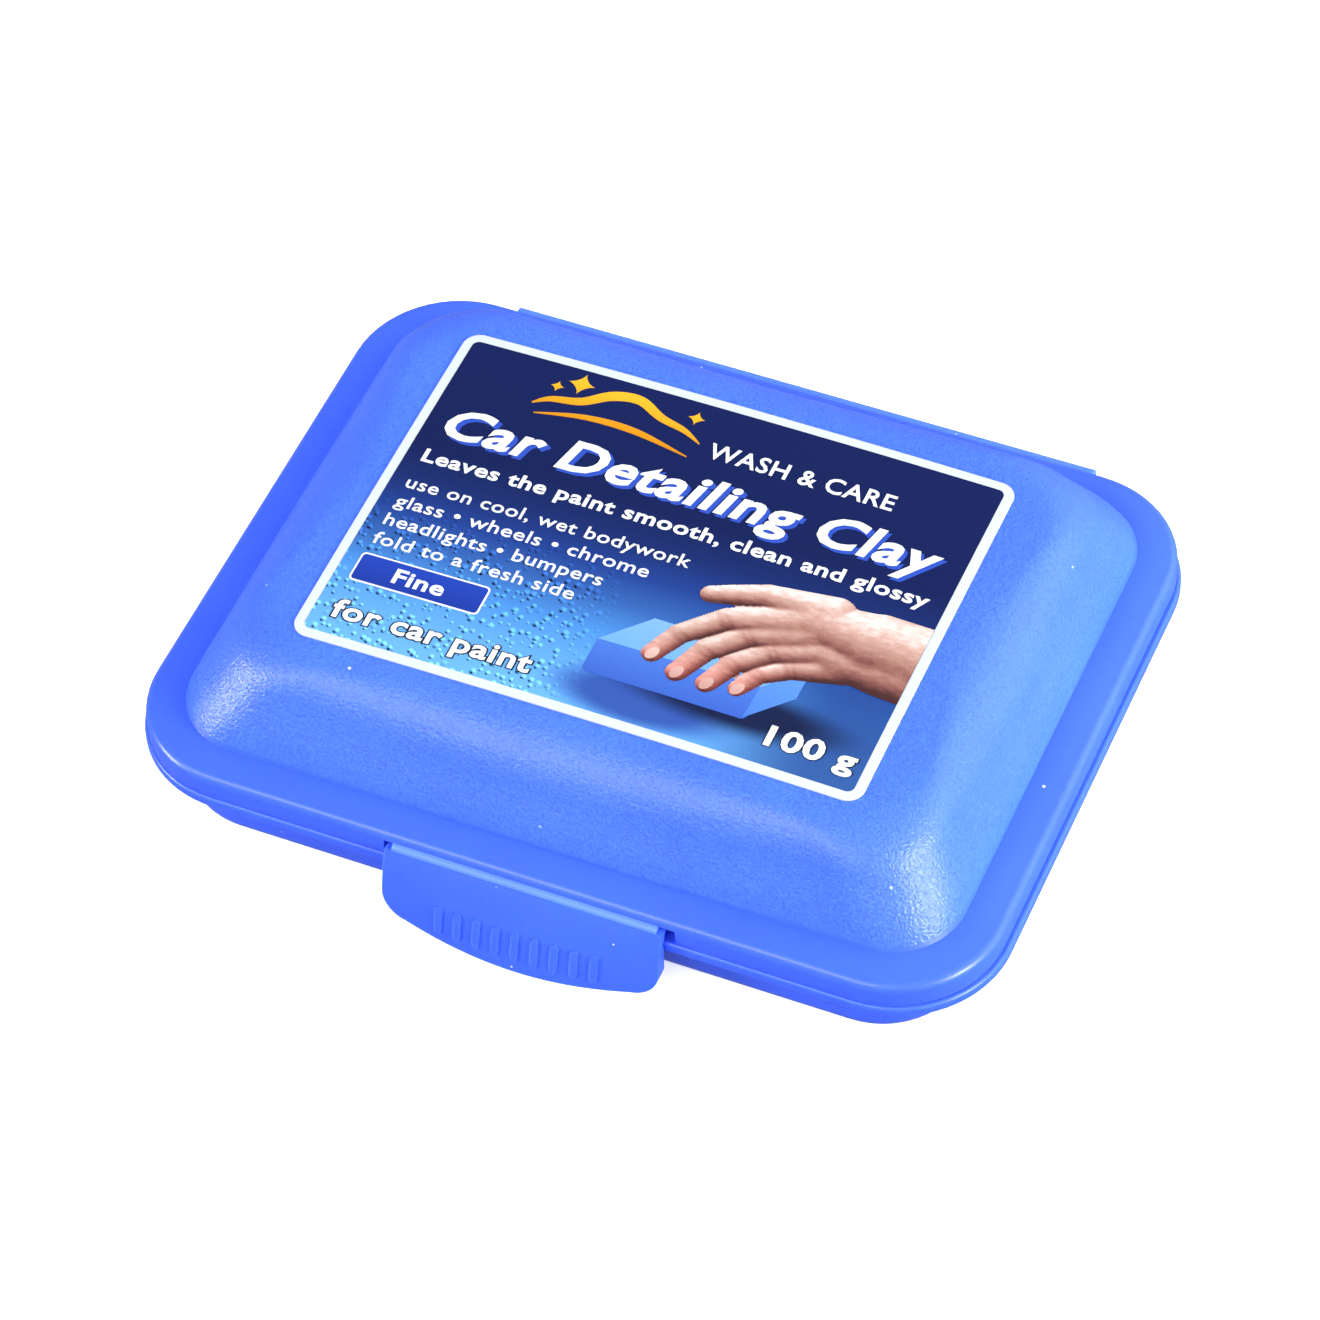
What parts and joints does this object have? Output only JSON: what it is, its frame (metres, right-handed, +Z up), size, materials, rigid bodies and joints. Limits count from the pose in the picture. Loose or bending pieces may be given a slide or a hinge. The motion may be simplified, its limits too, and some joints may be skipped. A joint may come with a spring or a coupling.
{
  "type": "boxed clay bar",
  "caption": "Bar of car detailing clay in film, inside a snap-shut translucent pocket box with film hinges, a front latch flap and a label on its domed lid.",
  "frame": {"origin": "on the surface the box stands on, under the middle of the whole shut box, latch flap and hinge web included", "axes": "+Z up, +X to the right along the latch side, -Y towards the latch flap, +Y towards the lid's hinge"},
  "size_m": [0.102, 0.0842, 0.0236],
  "materials": {
    "blue_polypropylene": "gloss",
    "frosted_polypropylene": "satin",
    "printed_label": "satin",
    "detailing_clay": "matte",
    "clear_film": "gloss"
  },
  "bodies": {
    "base": {"base_tray": "blue_polypropylene", "rear_hinge": "blue_polypropylene", "base_label": "printed_label"},
    "lid": {"lid_shell": "frosted_polypropylene", "lid_label": "printed_label", "latch_hinge": "blue_polypropylene"},
    "flap": {"latch_flap": "blue_polypropylene"},
    "clay": {"clay_bar": "detailing_clay", "clay_wrap": "clear_film"}
  },
  "joints": [
    {"name": "lid_hinge", "type": "hinge", "parent": "base", "child": "lid", "pos_m": [0, 0.04189, 0.0086], "axis": [-1, 0, 0], "range_deg": [0, 160], "deforming": ["rear_hinge"]},
    {"name": "latch_flap_hinge", "type": "hinge", "parent": "lid", "child": "flap", "pos_m": [0, -0.03811, 0.0105], "axis": [-1, 0, 0], "range_deg": [0, 100], "deforming": ["latch_hinge"]},
    {"name": "clay_lift", "type": "slide", "parent": "base", "child": "clay", "axis": [0, 0, 1], "range_m": [0, 0.0025]}
  ]
}
